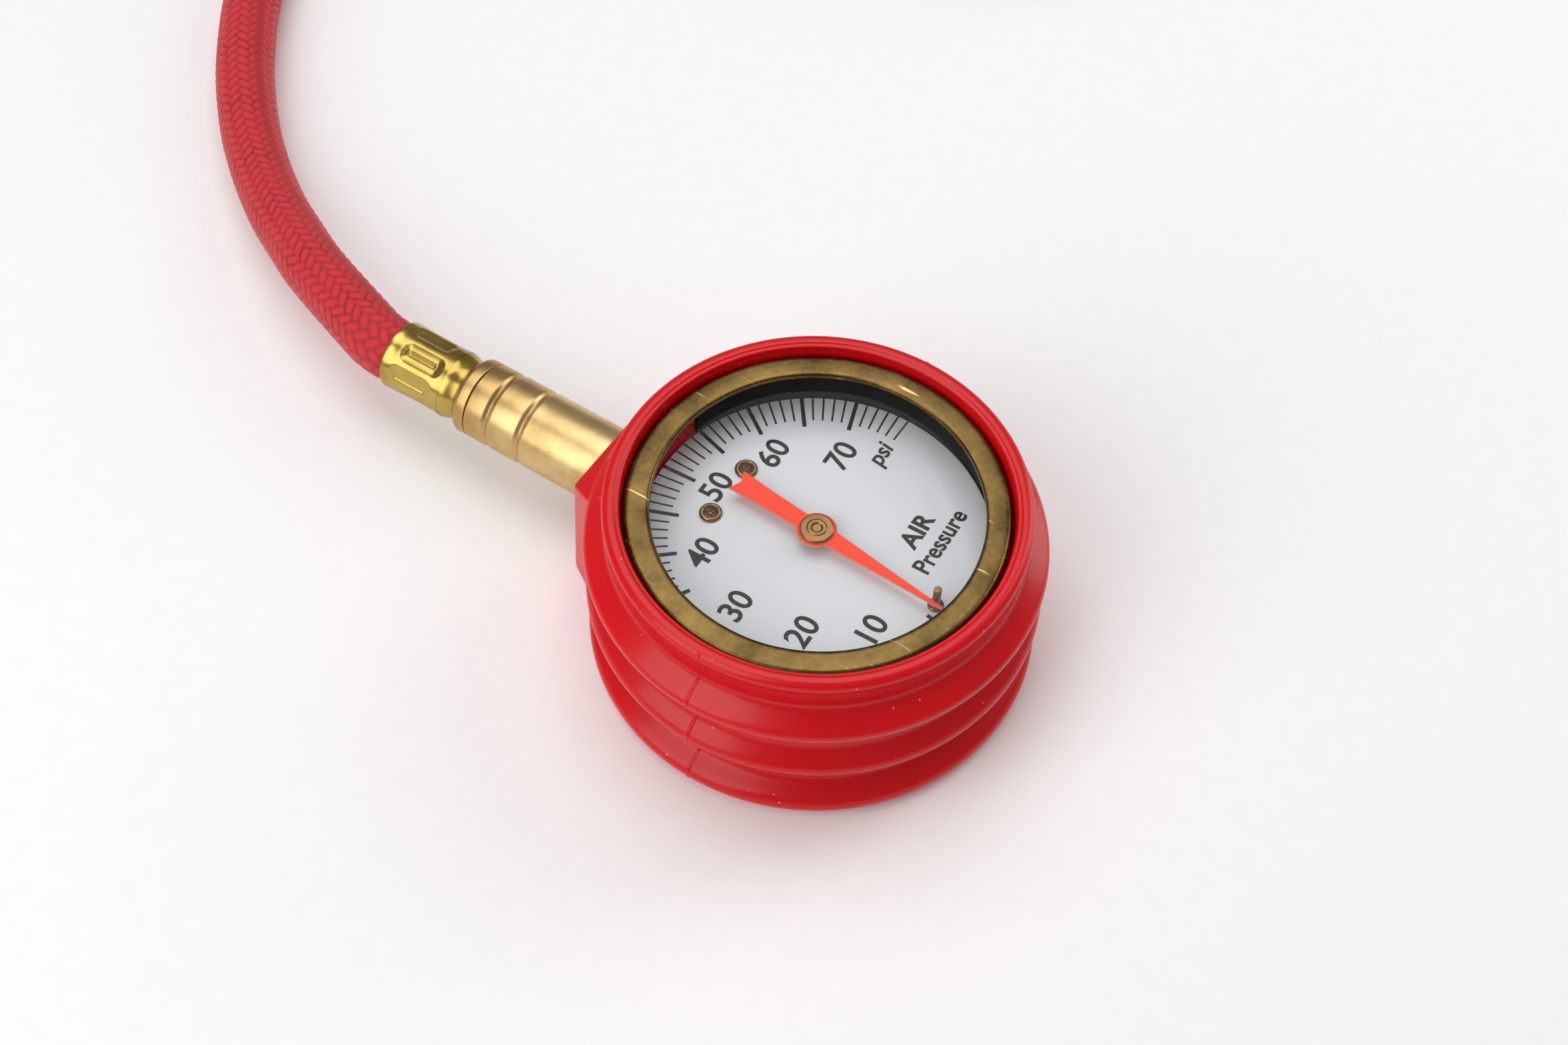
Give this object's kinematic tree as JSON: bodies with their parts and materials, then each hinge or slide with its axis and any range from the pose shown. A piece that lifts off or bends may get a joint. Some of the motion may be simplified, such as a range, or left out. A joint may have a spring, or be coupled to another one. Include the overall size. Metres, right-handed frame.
{
  "type": "tire pressure gauge",
  "caption": "Round dial air-pressure gauge in a ribbed rubber guard, with a brass stem, braided hose and a swivelling right-angle tyre-valve chuck.",
  "frame": {"origin": "centre of the rubber guard's flat back, which lies on the bench", "axes": "+Z comes out of the dial towards the reader, +Y runs along the stem towards the hose, +X is to the right of a reader who holds the stem upwards"},
  "size_m": [0.2016, 0.2029, 0.0293],
  "materials": {
    "guard_rubber": "semi-gloss moulded soft PVC",
    "black_case": "gloss black paint",
    "bezel_brass": "polished, tarnished and scratched",
    "lens_clear": "clear, polished",
    "stem_brass": "satin turned",
    "ferrule_brass": "bright yellow, crimped",
    "hose_braid": "woven textile braid",
    "movement_brass": "stamped",
    "tube_bronze": "drawn phosphor bronze",
    "plated_steel": "plated",
    "hub_brass": "turned, bright",
    "dial_face": "satin white enamel with black print",
    "pointer_paint": "matte orange-red",
    "chuck_brass": "turned",
    "black_rubber": "matte"
  },
  "bodies": {
    "gauge": {"rubber_guard": "guard_rubber", "case_cup": "black_case", "bezel": "bezel_brass", "lens": "lens_clear", "stem_body": "stem_brass", "stem_o_ring": "black_rubber", "stem_restrictor": "stem_brass", "hose_fitting": "stem_brass", "stem_ferrule": "ferrule_brass", "hose": "hose_braid", "pressure_block": "movement_brass", "bourdon_tube": "tube_bronze", "movement_back_plate": "movement_brass", "movement_front_plate": "movement_brass", "pillar_1": "movement_brass", "pillar_2": "movement_brass", "plate_screw_1": "plated_steel", "plate_screw_2": "plated_steel", "plate_screw_3": "plated_steel", "plate_screw_4": "plated_steel", "hairspring": "tube_bronze", "dial": "dial_face", "dial_post_1": "movement_brass", "dial_post_2": "movement_brass", "dial_rivet_1": "hub_brass", "dial_rivet_2": "hub_brass", "stop_pin": "hub_brass", "chuck_ferrule": "ferrule_brass", "swivel_fitting": "stem_brass"},
    "pointer": {"pointer": "pointer_paint", "pointer_hub": "hub_brass", "pinion_arbor": "plated_steel", "hairspring_collet": "movement_brass"},
    "sector": {"sector_gear": "movement_brass", "sector_staff": "plated_steel"},
    "link": {"connecting_link": "plated_steel"},
    "tube_end": {"tube_tip": "movement_brass"},
    "chuck": {"chuck_body": "chuck_brass", "chuck_cap": "chuck_brass", "chuck_seal": "black_rubber", "valve_depressor": "chuck_brass"}
  },
  "joints": [
    {"name": "pointer_spin", "type": "hinge", "parent": "gauge", "child": "pointer", "pos_m": [0, 0, 0.0222], "axis": [0, 0, -1], "range_deg": [0, 266]},
    {"name": "sector_pivot", "type": "hinge", "parent": "gauge", "child": "sector", "pos_m": [-0.00922, -0.00646, 0.01], "axis": [0, 0, 1], "range_deg": [0, 38]},
    {"name": "link_pivot", "type": "hinge", "parent": "sector", "child": "link", "pos_m": [-0.01301, -0.00613, 0.01075], "axis": [0, 0, 1], "range_deg": [-27.08, 0]},
    {"name": "tube_flex", "type": "hinge", "parent": "gauge", "child": "tube_end", "pos_m": [0.0032, -0.0053, 0.0106], "axis": [0, 0, 1], "range_deg": [0, 9], "deforming": ["bourdon_tube"]},
    {"name": "chuck_swivel", "type": "hinge", "parent": "gauge", "child": "chuck", "pos_m": [0.1635, 0.0384, 0.0078], "axis": [0, 1, 0], "continuous": true}
  ],
  "couplings": [
    {"joint": "sector_pivot", "follows": "pointer_spin", "ratio": 0.14286},
    {"joint": "link_pivot", "follows": "pointer_spin", "ratio": -0.1018},
    {"joint": "tube_flex", "follows": "pointer_spin", "ratio": 0.033806}
  ]
}
